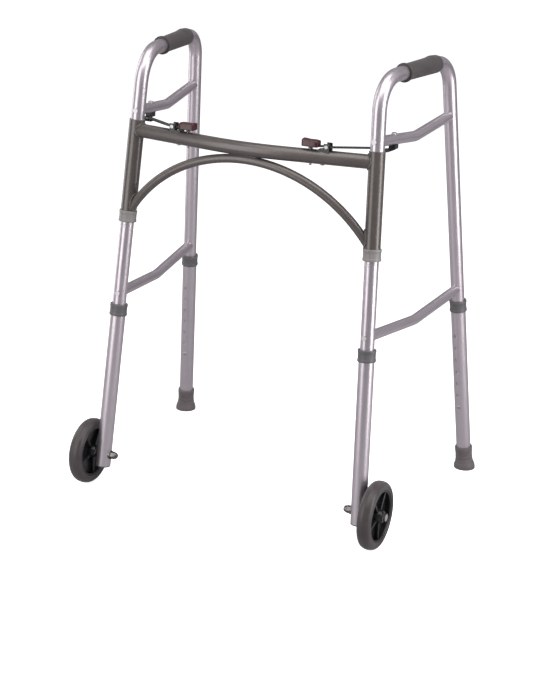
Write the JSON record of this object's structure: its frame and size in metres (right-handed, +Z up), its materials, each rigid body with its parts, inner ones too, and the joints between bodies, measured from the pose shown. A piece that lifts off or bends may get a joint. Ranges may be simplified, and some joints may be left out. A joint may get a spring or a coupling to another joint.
{
  "type": "front wheeled walker",
  "caption": "Folding aluminium walking frame with fixed front wheels, height-adjustable telescopic legs, rubber rear tips, moulded grips and finger-paddle fold latches.",
  "frame": {"origin": "on the floor, under the middle of the walker's bounding box", "axes": "+Z up, -Y towards the wheels (front), +X towards the user's left; the walker is mirror-symmetric about X=0"},
  "size_m": [0.6826, 0.5137, 0.8469],
  "materials": {
    "silver_tube": "lilac-silver anodised aluminium, satin with a fine lengthwise grain",
    "dark_frame": "bronze-grey semi-gloss powder coat",
    "collar_plastic": "warm grey moulded plastic, satin",
    "grey_plastic": "dark grey moulded plastic, satin",
    "grip_foam": "dark brown-grey moulded grip, matte with a fine grain",
    "tip_rubber": "grey rubber, matte",
    "tyre": "warm dark grey solid tyre, satin",
    "hub_plastic": "glossy black moulded plastic",
    "paddle_plastic": "dark red moulded plastic, semi-gloss",
    "black_steel": "black coated steel",
    "black_plastic": "black moulded plastic",
    "zinc_steel": "bright zinc-plated steel",
    "spring_steel": "spring steel",
    "nylon": "natural nylon"
  },
  "bodies": {
    "front_frame": {"cross_bar": "dark_frame", "arch_brace": "dark_frame", "sleeve_top_bushes": "grey_plastic", "latch_bracket_rivets": "zinc_steel", "hinge_sleeve_left": "dark_frame", "hinge_sleeve_right": "dark_frame", "sleeve_collar_left": "collar_plastic", "sleeve_collar_right": "collar_plastic", "latch_bracket_left": "black_steel", "latch_bracket_right": "black_steel", "paddle_spring_left": "spring_steel", "paddle_spring_right": "spring_steel"},
    "side_left": {"side_tube_left": "silver_tube", "upper_brace_left": "silver_tube", "lower_brace_left": "silver_tube", "side_rivets_left": "zinc_steel", "hand_grip_left": "grip_foam", "latch_catch_left": "black_plastic", "catch_bolt_left": "zinc_steel", "snap_springs_left": "spring_steel"},
    "latch_left": {"latch_bar_left": "black_steel", "release_paddle_left": "paddle_plastic", "paddle_stem_left": "zinc_steel"},
    "snap_front_left": {"snap_button_front_left": "zinc_steel"},
    "snap_rear_left": {"snap_button_rear_left": "zinc_steel"},
    "front_leg_left": {"front_lower_leg_left": "silver_tube", "front_leg_collar_left": "grey_plastic", "leg_end_plug_left": "grey_plastic", "axle_bolt_left": "zinc_steel", "axle_nut_set_left": "zinc_steel"},
    "rear_leg_left": {"rear_lower_leg_left": "silver_tube", "rear_leg_collar_left": "grey_plastic", "rubber_tip_left": "tip_rubber"},
    "wheel_left": {"wheel_tyre_left": "tyre", "wheel_hub_left": "hub_plastic", "wheel_bush_left": "nylon"},
    "side_right": {"side_tube_right": "silver_tube", "upper_brace_right": "silver_tube", "lower_brace_right": "silver_tube", "side_rivets_right": "zinc_steel", "hand_grip_right": "grip_foam", "latch_catch_right": "black_plastic", "catch_bolt_right": "zinc_steel", "snap_springs_right": "spring_steel"},
    "latch_right": {"latch_bar_right": "black_steel", "release_paddle_right": "paddle_plastic", "paddle_stem_right": "zinc_steel"},
    "snap_front_right": {"snap_button_front_right": "zinc_steel"},
    "snap_rear_right": {"snap_button_rear_right": "zinc_steel"},
    "front_leg_right": {"front_lower_leg_right": "silver_tube", "front_leg_collar_right": "grey_plastic", "leg_end_plug_right": "grey_plastic", "axle_bolt_right": "zinc_steel", "axle_nut_set_right": "zinc_steel"},
    "rear_leg_right": {"rear_lower_leg_right": "silver_tube", "rear_leg_collar_right": "grey_plastic", "rubber_tip_right": "tip_rubber"},
    "wheel_right": {"wheel_tyre_right": "tyre", "wheel_hub_right": "hub_plastic", "wheel_bush_right": "nylon"}
  },
  "joints": [
    {"name": "fold_left", "type": "hinge", "parent": "front_frame", "child": "side_left", "pos_m": [0.2693, -0.2004, 0], "axis": [-0.0447, 0.1105, 0.9929], "range_deg": [0, 80]},
    {"name": "latch_left", "type": "hinge", "parent": "front_frame", "child": "latch_left", "pos_m": [0.152, -0.13777, 0.7085], "axis": [0, -1, 0], "range_deg": [0, 1.8], "stiffness_Nm_per_rad": 0.4, "springref_deg": -2.86, "deforming": ["paddle_spring_left"]},
    {"name": "height_front_left", "type": "slide", "parent": "side_left", "child": "front_leg_left", "axis": [0.0447, -0.1105, -0.9929], "range_m": [0, 0.1524]},
    {"name": "height_rear_left", "type": "slide", "parent": "side_left", "child": "rear_leg_left", "axis": [0.0699, 0.1075, -0.9917], "range_m": [0, 0.1524]},
    {"name": "button_front_left", "type": "slide", "parent": "side_left", "child": "snap_front_left", "axis": [-0.1206, -0.9872, 0.1044], "range_m": [0, 0.0045], "stiffness_N_per_m": 600, "springref_m": -0.004, "deforming": ["snap_springs_left"]},
    {"name": "button_rear_left", "type": "slide", "parent": "side_left", "child": "snap_rear_left", "axis": [0.108, 0.9875, 0.1147], "range_m": [0, 0.0045], "stiffness_N_per_m": 600, "springref_m": -0.004, "deforming": ["snap_springs_left"]},
    {"name": "wheel_left", "type": "hinge", "parent": "front_leg_left", "child": "wheel_left", "pos_m": [0.26644, -0.19333, 0.0635], "axis": [1, 0, 0], "continuous": true},
    {"name": "fold_right", "type": "hinge", "parent": "front_frame", "child": "side_right", "pos_m": [-0.2693, -0.2004, 0], "axis": [-0.0447, -0.1105, -0.9929], "range_deg": [0, 54]},
    {"name": "latch_right", "type": "hinge", "parent": "front_frame", "child": "latch_right", "pos_m": [-0.152, -0.13777, 0.7085], "axis": [0, 1, 0], "range_deg": [0, 1.8], "stiffness_Nm_per_rad": 0.4, "springref_deg": -2.86, "deforming": ["paddle_spring_right"]},
    {"name": "height_front_right", "type": "slide", "parent": "side_right", "child": "front_leg_right", "axis": [-0.0447, -0.1105, -0.9929], "range_m": [0, 0.1524]},
    {"name": "height_rear_right", "type": "slide", "parent": "side_right", "child": "rear_leg_right", "axis": [-0.0699, 0.1075, -0.9917], "range_m": [0, 0.1524]},
    {"name": "button_front_right", "type": "slide", "parent": "side_right", "child": "snap_front_right", "axis": [0.1206, -0.9872, 0.1044], "range_m": [0, 0.0045], "stiffness_N_per_m": 600, "springref_m": -0.004, "deforming": ["snap_springs_right"]},
    {"name": "button_rear_right", "type": "slide", "parent": "side_right", "child": "snap_rear_right", "axis": [-0.108, 0.9875, 0.1147], "range_m": [0, 0.0045], "stiffness_N_per_m": 600, "springref_m": -0.004, "deforming": ["snap_springs_right"]},
    {"name": "wheel_right", "type": "hinge", "parent": "front_leg_right", "child": "wheel_right", "pos_m": [-0.26644, -0.19333, 0.0635], "axis": [1, 0, 0], "continuous": true}
  ]
}
